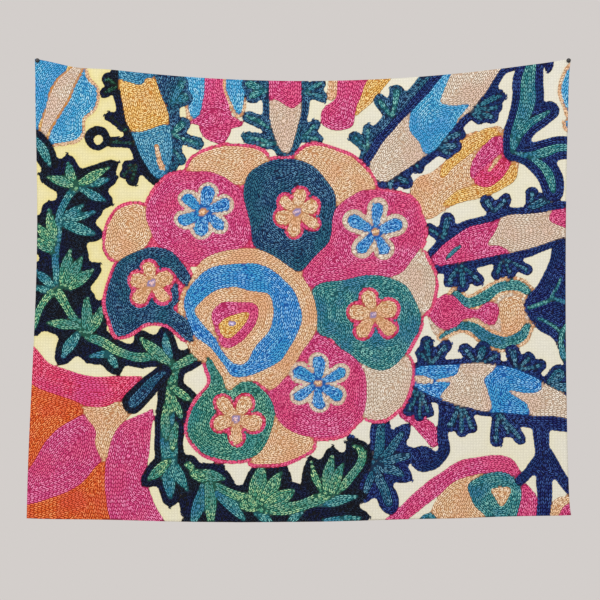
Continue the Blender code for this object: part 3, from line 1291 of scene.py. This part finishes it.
def cloth_piece(name: str, mesh: bpy.types.Mesh) -> bpy.types.Object:
    """Smooth object that rides on the hanging's one body.

    Args:
        name: The piece's name.
        mesh: Its mesh.

    Returns:
        The piece.
    """
    mesh.shade_smooth()
    piece = bpy.data.objects.new(name, mesh)
    bpy.context.scene.collection.objects.link(piece)
    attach(piece, BODY)
    return piece


def triangle_mesh(name: str, verts: np.ndarray, faces: np.ndarray) -> bpy.types.Mesh:
    """Mesh made of triangles.

    Args:
        name: The mesh's name.
        verts: One vertex per row.
        faces: Three numbers of vertices per row.

    Returns:
        The mesh.
    """
    mesh = bpy.data.meshes.new(name)
    mesh.vertices.add(len(verts))
    mesh.vertices.foreach_set("co", verts.astype(np.float32).ravel())
    mesh.loops.add(faces.size)
    mesh.loops.foreach_set("vertex_index", faces.astype(np.int32).ravel())
    mesh.polygons.add(len(faces))
    mesh.polygons.foreach_set("loop_start", np.arange(0, faces.size, 3, dtype=np.int32))
    mesh.update(calc_edges=True)
    return mesh


def flat_map(mesh: bpy.types.Mesh, places: np.ndarray) -> None:
    """Gives a mesh the map named by BAKE_MAP, from a place on a flat sheet for each loop.

    Args:
        mesh: The mesh.
        places: A place for each loop.
    """
    low, high = places.min(0), places.max(0)
    spread = 0.01 + 0.98 * (places - low) / (high - low)
    mesh.uv_layers.new(name=BAKE_MAP).uv.foreach_set("vector", spread.astype(np.float32).ravel())


def add_values(mesh: bpy.types.Mesh, name: str, values: np.ndarray) -> None:
    """Stores a number, or a vector of three, on each vertex."""
    kind, key = ("FLOAT_VECTOR", "vector") if values.ndim == 2 else ("FLOAT", "value")
    mesh.attributes.new(name, kind, "POINT").data.foreach_set(key, values.astype(np.float32).ravel())


@dataclass(frozen=True)
class Floss:
    """Twisted cotton floss with a silky face: two plies show as fine slanted ribs."""

    thread: Thread

    def material(self) -> bpy.types.Material:
        """Dyed colour by stitch and by place, with painted shade in the hollows and painted highlights on the
        crowns from its tone, and the twist of its plies as bump.

        Returns:
            The material.
        """
        dye = self.thread.value
        made, tree, shader = principled("floss_" + self.thread.name.lower(), 0.55, 0.15)
        tone = node(tree, "Attribute", {"attribute_name": "tone"}).outputs["Fac"]
        lay = node(tree, "Attribute", {"attribute_name": "lay"}).outputs["Vector"]
        place = node(tree, "TexCoord").outputs["Object"]
        # Low tones give the painted shade of the hollows and high ones the painted highlight of the crowns
        colour = ramp(tree, tone, (0.08, dye.dark), (0.46, dye.mid), (0.62, dye.mid), (0.98, dye.light))
        # Dye lots change over some 50 mm
        lot = node(tree, "TexNoise", Vector=place, Scale=19.0, Detail=2.0).outputs["Fac"]
        strayed = node(tree, "MapRange", Value=lot, From_Min=0.44, From_Max=0.62, To_Max=0.8).outputs[0]
        spread = node(tree, "Math", {"operation": "MULTIPLY"}, in_0=strayed, in_1=tone).outputs[0]
        mixed = node(tree, "Mix", {"data_type": "RGBA"}, in_0=spread, in_6=colour, in_7=linear(dye.stray))
        # Plies of 0.5 mm, seen as ribs
        ribs = node(tree, "TexWave", {"bands_direction": "DIAGONAL"}, Vector=lay, Scale=0.55, Distortion=1.0)
        fuzz = node(tree, "TexNoise", Vector=place, Scale=2600.0, Detail=1.0).outputs["Fac"]
        twist = node(tree, "Bump", Strength=0.5, Distance=0.00025, Height=ribs.outputs["Fac"])
        grain = node(tree, "Bump", Strength=0.2, Distance=0.0001, Height=fuzz, Normal=twist.outputs["Normal"])
        tree.links.new(mixed.outputs[2], shader.inputs["Base Color"])
        tree.links.new(grain.outputs["Normal"], shader.inputs["Normal"])
        return made


def arrays_of(shape: bmesh.types.BMesh) -> tuple[np.ndarray, np.ndarray]:
    """Vertices and triangles of a small shape, which is freed.

    Args:
        shape: The shape.

    Returns:
        One vertex per row, and three numbers of vertices per row.
    """
    bmesh.ops.recalc_face_normals(shape, faces=shape.faces)
    bmesh.ops.triangulate(shape, faces=shape.faces)
    shape.verts.index_update()
    verts = np.array([v.co[:] for v in shape.verts])
    faces = np.array([[v.index for v in f.verts] for f in shape.faces])
    shape.free()
    return verts, faces


@dataclass(frozen=True)
class Link:
    """One link of chain stitch, one unit long and one row wide: two plump strands that part and meet."""

    hollow: float = -0.02  # how deep a strand sits in the ground
    ring_at: float = 0.5  # where a sphere of three segments has its two rings, and their radius
    ring_radius: float = 0.866
    # Place along and across, half width and height of a strand's two rings
    near: tuple = (0.18, 0.17, 0.19, 0.15)
    far: tuple = (0.74, 0.31, 0.21, 0.17)
    # Places of its two ends
    foot: tuple = (-0.18, 0.05, 0.05)
    tip: tuple = (1.12, 0.36, 0.05)

    def move_ring(self, strand: bmesh.types.BMesh, side: int, place: tuple) -> None:
        """Moves one ring of a strand to its place and size.

        Args:
            strand: The strand, as a sphere along X.
            side: -1 for the ring nearer the foot and 1 for the other.
            place: The ring's place along and across, half width and height.
        """
        along, across, half, top = place
        verts = [v for v in strand.verts if abs(v.co.x - self.ring_at * side) < 0.2]
        tall = (top - self.hollow) / 2
        bmesh.ops.scale(strand, vec=(1, half / self.ring_radius, tall / self.ring_radius), verts=verts)
        bmesh.ops.translate(strand, vec=(along - self.ring_at * side, across, top - tall), verts=verts)

    def strand(self) -> bmesh.types.BMesh:
        """One strand, as a sphere of few faces drawn out along the link.

        Returns:
            The strand.
        """
        strand = bmesh.new()
        bmesh.ops.create_uvsphere(strand, u_segments=4, v_segments=3, radius=1.0,
                                  matrix=Matrix.Rotation(math.pi / 2, 4, "Y"))
        ends = {side: [v for v in strand.verts if abs(v.co.x - side) < 0.1] for side in (-1, 1)}
        self.move_ring(strand, -1, self.near)
        self.move_ring(strand, 1, self.far)
        for side, (along, across, up) in ((-1, self.foot), (1, self.tip)):
            bmesh.ops.translate(strand, vec=(along - side, across, up), verts=ends[side])
        bmesh.ops.triangulate(strand, faces=strand.faces)
        return strand

    def arrays(self) -> tuple[np.ndarray, np.ndarray]:
        """Vertices and triangles of the link.

        Returns:
            One vertex per row, and three numbers of vertices per row.
        """
        strand = self.strand()
        halves = strand.verts[:] + strand.edges[:] + strand.faces[:]
        bmesh.ops.mirror(strand, geom=halves, axis="Y", merge_dist=0.0)
        return arrays_of(strand)


@dataclass(frozen=True)
class Dash:
    """The short stitch behind one link, one unit long: a flat spindle with two points."""

    half: float = 0.2  # half its width, where it is widest
    widest_at: float = 0.5
    flat: float = 0.55  # its height as a share of its width
    lift: float = 0.045

    def arrays(self) -> tuple[np.ndarray, np.ndarray]:
        """Vertices and triangles of the stitch.

        Returns:
            One vertex per row, and three numbers of vertices per row.
        """
        dash = bmesh.new()
        middle = Matrix.Translation(((1 + self.widest_at) / 2, 0, 0))
        bmesh.ops.create_cone(dash, cap_ends=False, segments=4, radius1=self.half, radius2=0.0,
                              depth=1 - self.widest_at, matrix=middle @ Matrix.Rotation(math.pi / 2, 4, "Y"))
        bmesh.ops.remove_doubles(dash, verts=dash.verts, dist=0.001)
        tip = bmesh.ops.extrude_edge_only(dash, edges=[e for e in dash.edges if e.is_boundary])
        moved = [v for v in tip["geom"] if isinstance(v, bmesh.types.BMVert)]
        bmesh.ops.pointmerge(dash, verts=moved, merge_co=(0, 0, 0))
        bmesh.ops.scale(dash, vec=(1, 1, self.flat), verts=dash.verts)
        bmesh.ops.translate(dash, vec=(0, 0, self.lift), verts=dash.verts)
        return arrays_of(dash)


@dataclass
class Embroidery:
    """All the chain stitch on the face, and the short stitches that it leaves on the back."""

    hang: Hang
    chart: Chart
    askew: float = 0.16  # how far a link turns aside, as a share of its row's width
    pin_reach: float = 0.0046  # nearer to a pin than this the stitches lie pressed flat
    pressed: float = 0.25
    # Painted shade at a strand's root and a painted highlight on its crown: the tone by height, as a share of
    # the row's width
    heights: tuple = (0.0, 0.04, 0.10, 0.16)
    painted_light_by_height: tuple = (-0.46, -0.28, 0.05, 0.34)
    mean_tone: float = 0.54
    chance_tone: float = 0.36
    ply: float = 7.4  # scale of the map that the plies follow
    start: np.ndarray = field(init=False)  # of each link, in metres
    end: np.ndarray = field(init=False)
    region: np.ndarray = field(init=False)
    wide: np.ndarray = field(init=False)

    def __post_init__(self) -> None:
        """Lays the rows and keeps the links whose middle is on the cloth."""
        laid = StitchRows(self.chart).lay()
        start, end = laid.start * MM, laid.end * MM
        middle = (start + end) / 2
        u, v = self.hang.share(middle[:, 0], -middle[:, 1])
        on = (np.abs(u) < 1) & (v > 0) & (v < 1)
        self.start, self.end, self.region = start[on], end[on], laid.region[on]
        self.wide = laid.wide[on] * MM
        LOG.info("%d links in %d regions", on.sum(), len(self.chart.threads))

    def spread(self, shape: np.ndarray, chosen: np.ndarray, front: bool) -> np.ndarray:
        """Copies a small shape along every chosen link, on the folds.

        Args:
            shape: Its vertices, as shares of the link along it, and of the row's width across and up.
            chosen: Numbers of the links.
            front: Whether it stands on the face or on the back.

        Returns:
            One vertex per row.
        """
        start, run = self.start[chosen, None], (self.end - self.start)[chosen, None]
        length = np.hypot(run[..., 0], run[..., 1])[..., None]
        normal = np.stack([-run[..., 1], run[..., 0]], axis=-1) / length
        along, across, up = (shape[None, :, k, None] for k in range(3))
        askew = self.askew * (scatter(start * 700, 3.1)[..., None] - 0.5)
        wide = self.wide[chosen, None]
        flat = start + run * along + normal * (across + askew * (along - 0.5)) * wide[..., None]
        x, z = flat[..., 0], -flat[..., 1]
        u, v = self.hang.share(x, z)
        held_x, held_z = self.hang.place(np.clip(u, -1, 1), np.clip(v, 0, 1))
        outside = (np.abs(u) > 1) | (v < 0) | (v > 1)
        x, z = np.where(outside, held_x, x), np.where(outside, held_z, z)
        up = up[..., 0] * wide * (0.9 + 0.25 * scatter(start * 900, 7.7))
        for pin_x, pin_z in self.hang.pins():
            up = up * np.where(np.hypot(x - pin_x, z - pin_z) < self.pin_reach, self.pressed, 1.0)
        y = self.hang.depth_at(x, z) + (-self.hang.face - up if front else self.hang.back + up)
        return np.stack([x, y, z], axis=-1).reshape(-1, 3)

    def tones(self, chosen: np.ndarray, strands: int, shape: np.ndarray) -> np.ndarray:
        """How light each vertex's dye is: at random by stitch, with painted light and shade by strand,
        painted shade where a strand dips low and a painted highlight on its crown.

        Args:
            chosen: Numbers of the links.
            strands: How many strands a link has.
            shape: The link's vertices.

        Returns:
            One number per vertex.
        """
        each = len(shape) // strands
        # Painted shade low on each strand and a painted highlight on its crown
        crown = np.interp(shape[:each, 2], self.heights, self.painted_light_by_height)
        middle = (self.start + self.end)[chosen] / 2
        run = (self.end - self.start)[chosen]
        run = run / np.hypot(*run.T)[:, None]
        tone = np.empty((len(chosen), strands, each))
        for strand in range(strands):
            # Painted light: one strand of each link is lighter and the other darker, by which way the link
            # runs
            lit = (1 - 2 * strand) * (run[:, 1] * -0.5 + run[:, 0] * 0.85)
            chance = self.chance_tone * (scatter(middle * 1000, 1.7 + 5 * strand) - 0.5)
            tone[:, strand] = (self.mean_tone + 0.08 * lit + chance)[:, None] + crown
        return np.clip(tone, 0, 1).ravel()

    def piece(self, name: str, shape: tuple[np.ndarray, np.ndarray], chosen: np.ndarray, threads: list,
              strands: int) -> bpy.types.Object:
        """A small shape at every chosen link, dyed like its thread.

        Args:
            name: The piece's name.
            shape: The small shape's vertices and triangles.
            chosen: Numbers of the links.
            threads: The threads in use, in the order of their names.
            strands: How many strands the shape has: two on the face, and one on the back.

        Returns:
            The piece.
        """
        verts, faces = shape
        placed = self.spread(verts, chosen, strands == 2)
        corners = (faces[None] + len(verts) * np.arange(len(chosen))[:, None, None]).reshape(-1, 3)
        mesh = triangle_mesh(name, placed, corners)
        for thread in threads:
            mesh.materials.append(FLOSSES[thread])
        numbers = np.array([threads.index(t) if t in threads else 0 for t in self.chart.threads], np.int32)
        looks = np.repeat(numbers[self.region[chosen]], len(faces))
        mesh.polygons.foreach_set("material_index", looks)
        add_values(mesh, "tone", self.tones(chosen, strands, verts))
        add_values(mesh, "lay", np.tile(verts * self.ply, (len(chosen), 1)))
        flat_map(mesh, placed[corners.ravel()][:, (0, 2)])
        LOG.info("%s: %d links, %d triangles", name, len(chosen), len(corners))
        return cloth_piece(name, mesh)

    def build(self, part: Part) -> bpy.types.Object:
        """Chain stitch of one group of motifs.

        Args:
            part: The group.

        Returns:
            The piece.
        """
        numbers = [k for k, owner in enumerate(self.chart.parts) if owner == part]
        chosen = np.nonzero(np.isin(self.region, numbers))[0]
        threads = sorted({self.chart.threads[k] for k in numbers}, key=lambda thread: thread.name)
        return self.piece(part.value, Link().arrays(), chosen, threads, 2)

    def build_back(self) -> bpy.types.Object:
        """Short stitches on the back, one behind each link.

        Returns:
            The piece.
        """
        verts, faces = Dash().arrays()
        threads = sorted(Thread, key=lambda thread: thread.name)
        return self.piece("back_stitches", (verts, faces[:, ::-1]), np.arange(len(self.start)), threads, 1)


@dataclass
class Ground:
    """The handwoven cotton that the stitches stand on, as one closed sheet."""

    hang: Hang
    chart: Chart
    squares: tuple[int, int] = (54, 46)
    cuts: int = 4  # cuts across each square of the face
    back_shift: float = 2.1  # where the back lies on the flat map, beside the face
    back_tint: float = 0.15
    painted_shade_reach: float = 7.0  # how far the painted shade round the stitches reaches, in mm

    def sheet(self) -> bmesh.types.BMesh:
        """Two grids joined round their edges, the face's cut finer than the back's.

        Returns:
            The sheet, flat and two units wide.
        """
        cloth = bmesh.new()
        for layer in (1.0, -1.0):
            bmesh.ops.create_grid(cloth, x_segments=self.squares[0], y_segments=self.squares[1], size=1.0,
                                  matrix=Matrix.Translation((0, 0, layer)))
        bmesh.ops.bridge_loops(cloth, edges=[e for e in cloth.edges if e.is_boundary])
        face = [e for e in cloth.edges if all(v.co.z > 0 for v in e.verts)]
        bmesh.ops.subdivide_edges(cloth, edges=face, cuts=self.cuts, use_grid_fill=True)
        bmesh.ops.triangulate(cloth, faces=[f for f in cloth.faces if len(f.verts) > 4])
        bmesh.ops.recalc_face_normals(cloth, faces=cloth.faces)
        return cloth

    def build(self) -> bpy.types.Object:
        """Hangs the sheet in its folds and stores what its material needs.

        Returns:
            The piece.
        """
        cloth = self.sheet()
        mesh = bpy.data.meshes.new("cotton_ground")
        cloth.to_mesh(mesh)
        cloth.free()
        flat = np.array([vertex.co[:] for vertex in mesh.vertices])
        front = flat[:, 2] > 0
        x, z = self.hang.place(flat[:, 0], (1 - flat[:, 1]) / 2)
        y = self.hang.depth_at(x, z) + np.where(front, -self.hang.face, self.hang.back)
        mesh.vertices.foreach_set("co", np.stack([x, y, z], axis=1).astype(np.float32).ravel())
        self.dress(mesh, x, z, front)
        loops = np.array([loop.vertex_index for loop in mesh.loops])
        shift = np.where(front, 0.0, self.back_shift)
        flat_map(mesh, np.stack([flat[:, 0] + shift, flat[:, 1]], axis=1)[loops])
        mesh.materials.append(self.material())
        LOG.info("cotton_ground: %d faces", len(mesh.polygons))
        return cloth_piece("cotton_ground", mesh)

    def dress(self, mesh: bpy.types.Mesh, x: np.ndarray, z: np.ndarray, front: np.ndarray) -> None:
        """Stores the painted shade between the stitches, how far inside them a vertex is, and the tint of
        bare cloth.

        Args:
            mesh: The sheet's mesh.
            x: X of each vertex.
            z: Z of each vertex.
            front: Whether each vertex is on the face.
        """
        row, column = self.chart.cell_of(np.stack([x, -z], axis=1) / MM)
        region = self.chart.region[row, column]
        depth = self.chart.to_border()[row, column]
        bare = np.array([thread is None for thread in self.chart.threads])[region]
        add_values(mesh, "cover", np.where(front, np.where(bare, -depth, depth), -9.0))
        dyes = [thread.value if thread else None for thread in self.chart.threads]
        # Painted shade in the gaps between the stitches: the thread's dark colour with a little of its mid
        # one
        under = np.array([0.85 * np.array(linear(dye.dark)) + 0.15 * np.array(linear(dye.mid))
                          if dye else np.zeros(4) for dye in dyes])[region]
        colour = mesh.attributes.new("under", "FLOAT_COLOR", "POINT")
        colour.data.foreach_set("color", under.astype(np.float32).ravel())
        # The cotton is yellow at the left and paler at the right, with painted shade round the stitches
        near = np.exp(-depth / self.painted_shade_reach)
        drift = 0.5 + 0.25 * np.sin(x * 21 + 1.0) + 0.25 * np.sin(x * 13 - z * 17)
        left = (1 - smooth(-0.34, -0.04, x)) * (1 - 0.6 * smooth(0.37, 0.46, -z))
        tint = 0.62 * left + 0.32 * near * (0.4 + 0.6 * left) + 0.22 * drift * (1 - left)
        add_values(mesh, "tint", np.where(front, tint, self.back_tint))

    def material(self) -> bpy.types.Material:
        """Plain weave of cotton yarns, drawn coarser than real: 2.2 mm apart, where real ones are about 1 mm.

        Returns:
            The material.
        """
        made, tree, shader = principled("handwoven_cotton", 0.85, 0.2)
        place = node(tree, "TexCoord").outputs["Object"]
        cover, under, tint = (node(tree, "Attribute", {"attribute_name": name}).outputs[socket]
                              for name, socket in (("cover", "Fac"), ("under", "Color"), ("tint", "Fac")))
        pale = ramp(tree, tint, (0.0, "cecdc6"), (0.45, "d2cdac"), (1.0, "d0c47e"))
        waves = [node(tree, "TexWave", {"bands_direction": way}, Vector=place, Scale=71.0, Distortion=2.2,
                      Detail=1.0, Detail_Scale=2.0).outputs["Fac"] for way in ("X", "Z")]
        weave = node(tree, "Math", {"operation": "MULTIPLY"}, in_0=waves[0], in_1=waves[1]).outputs[0]
        slubs = node(tree, "TexNoise", Vector=place, Scale=240.0, Detail=3.0).outputs["Fac"]
        yarn = node(tree, "Math", {"operation": "ADD"}, in_0=weave, in_1=slubs).outputs[0]
        shade = node(tree, "MapRange", Value=yarn, From_Min=0.3, From_Max=1.2, To_Min=0.86, To_Max=1.0)
        woven = node(tree, "Mix", {"data_type": "RGBA", "blend_type": "MULTIPLY"}, in_0=1.0, in_6=pale,
                     in_7=shade.outputs["Result"])
        inside = node(tree, "MapRange", Value=cover, From_Min=-0.3, From_Max=0.5).outputs["Result"]
        # Inside the stitched areas the cotton shows the painted shade between the stitches
        mixed = node(tree, "Mix", {"data_type": "RGBA"}, in_0=inside, in_6=woven.outputs[2], in_7=under)
        bump = node(tree, "Bump", Strength=0.6, Distance=0.0004, Height=yarn)
        tree.links.new(mixed.outputs[2], shader.inputs["Base Color"])
        tree.links.new(bump.outputs["Normal"], shader.inputs["Normal"])
        return made


@dataclass(frozen=True)
class Enamel:
    """Black enamel on the steel pins: smooth, with a soft gloss and a few dull rubs."""

    def material(self) -> bpy.types.Material:
        """Near-black gloss with slight unevenness.

        Returns:
            The material.
        """
        made, tree, shader = principled("enamelled_steel")
        place = node(tree, "TexCoord").outputs["Object"]
        rubs = node(tree, "TexNoise", Vector=place, Scale=900.0, Detail=3.0).outputs["Fac"]
        rough = node(tree, "MapRange", Value=rubs, To_Min=0.24, To_Max=0.5).outputs["Result"]
        tree.links.new(ramp(tree, rubs, (0.35, "101012"), (0.75, "232225")), shader.inputs["Base Color"])
        tree.links.new(rough, shader.inputs["Roughness"])
        return made

    def dress(self) -> None:
        """Paints the pins, which stay as the CAD model made them."""
        look = self.material()
        for name in ("pin_left", "pin_right"):
            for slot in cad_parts[name].material_slots:
                slot.material = look
            LOG.info("%s: enamelled", name)


@dataclass(frozen=True)
class Studio:
    """Plain pale surroundings, a plain floor, soft light and a camera square to the cloth."""

    distance: float = 2.5
    seen: float = 0.9504  # width of the picture at the cloth
    aim: tuple[float, float] = (-0.00475, -0.3469)
    film: float = 36.0  # width of the camera's sensor, in mm
    floor_height: float = -1.45
    floor_half: float = 2.0
    # Name, place and power of each lamp, and their size
    lamps: tuple = (("window", (-1.3, -2.6, 1.0), 66.0), ("ceiling", (1.3, -2.4, 1.3), 30.0))
    lamp_size: float = 2.0
    lit: tuple[float, float, float] = (0, 0, -0.35)  # where the lamps look

    def build(self) -> None:
        """Sets up everything that isn't the hanging."""
        scene = bpy.context.scene
        scene.view_settings.view_transform = "Standard"
        lens = bpy.data.cameras.new("camera")
        lens.sensor_width = self.film
        lens.lens = self.film * self.distance / self.seen
        camera = bpy.data.objects.new("camera", lens)
        camera.location = (self.aim[0], -self.distance, self.aim[1])
        camera.rotation_euler = (math.pi / 2, 0, 0)
        scene.collection.objects.link(camera)
        scene.camera = camera
        world = bpy.data.worlds.new("room")
        world.use_nodes = True
        world.node_tree.nodes["Background"].inputs["Color"].default_value = linear("d3cecb")
        scene.world = world
        for name, place, power in self.lamps:
            self.add_lamp(name, place, power)
        self.add_floor()

    def add_floor(self) -> None:
        """Adds the plain floor."""
        plane = bmesh.new()
        bmesh.ops.create_grid(plane, x_segments=1, y_segments=1, size=self.floor_half,
                              matrix=Matrix.Translation((0, 0, self.floor_height)))
        mesh = bpy.data.meshes.new("floor")
        plane.to_mesh(mesh)
        plane.free()
        made, _, shader = principled("plain_floor", 0.8)
        shader.inputs["Base Color"].default_value = linear("dedad6")
        mesh.materials.append(made)
        floor = bpy.data.objects.new("floor", mesh)
        bpy.context.scene.collection.objects.link(floor)

    def add_lamp(self, name: str, place: tuple[float, float, float], power: float) -> None:
        """Adds a large square lamp that looks at the cloth.

        Args:
            name: Its name.
            place: Where it stands.
            power: Its power in watts.
        """
        light = bpy.data.lights.new(name, "AREA")
        light.size, light.energy = self.lamp_size, power
        lamp = bpy.data.objects.new(name, light)
        lamp.location = place
        lamp.rotation_euler = (Vector(self.lit) - Vector(place)).to_track_quat("-Z", "Y").to_euler()
        bpy.context.scene.collection.objects.link(lamp)


FLOSSES = {thread: Floss(thread).material() for thread in Thread}


def main() -> None:
    """Builds the studio and the hanging, hides the CAD cloth and paints the pins."""
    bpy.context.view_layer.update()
    Studio().build()
    hang = Hang()
    chart = drawn_chart()
    embroidery = Embroidery(hang, chart)
    stitched = [embroidery.build(part) for part in Part]
    stitched.append(embroidery.build_back())
    ground = Ground(hang, chart).build()
    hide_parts("cloth")
    Enamel().dress()
    bpy.context.view_layer.update()


if __name__ == "__main__":
    logging.basicConfig(level=logging.INFO, format="%(message)s")
    main()
